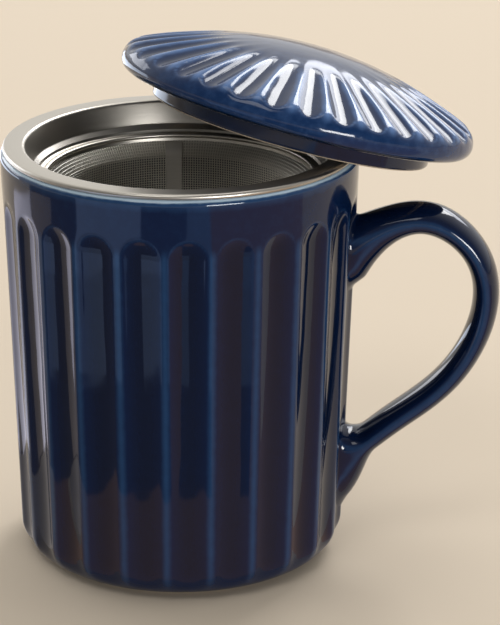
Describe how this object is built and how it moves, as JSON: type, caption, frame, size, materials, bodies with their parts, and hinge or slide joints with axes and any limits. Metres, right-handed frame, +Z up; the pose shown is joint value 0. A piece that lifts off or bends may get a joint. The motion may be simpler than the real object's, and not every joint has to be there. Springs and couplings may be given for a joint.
{
  "type": "lidded tea mug with infuser",
  "caption": "Fluted stoneware tea mug with an ear handle, a lift-out steel infuser basket on its rim and a loose domed, fluted lid that leans on the basket's flange.",
  "frame": {"origin": "on the mug's axis, in the plane of its flat foot", "axes": "+Z up along the mug's axis, +X towards the handle"},
  "size_m": [0.1229, 0.1053, 0.1295],
  "materials": {
    "mug_glaze": "glossy navy glaze, thinner and bluer on ridges",
    "lid_glaze": "glossy navy glaze",
    "pressed_steel": "satin stainless steel",
    "wire_cloth": "fine woven stainless wire"
  },
  "bodies": {
    "mug": {"mug_body": "mug_glaze", "handle": "mug_glaze"},
    "infuser": {"infuser_collar": "pressed_steel", "infuser_top_band": "pressed_steel", "infuser_seam_strip": "pressed_steel", "infuser_bottom_band": "pressed_steel", "infuser_mesh_sleeve": "wire_cloth", "infuser_base_mesh": "wire_cloth"},
    "lid": {"lid": "lid_glaze"}
  },
  "joints": [
    {"name": "infuser_lift", "type": "slide", "parent": "mug", "child": "infuser", "axis": [0, 0, 1], "range_m": [0, 0.09]},
    {"name": "lid_lift", "type": "slide", "parent": "infuser", "child": "lid", "axis": [0, 0, 1], "range_m": [0, 0.05]}
  ]
}
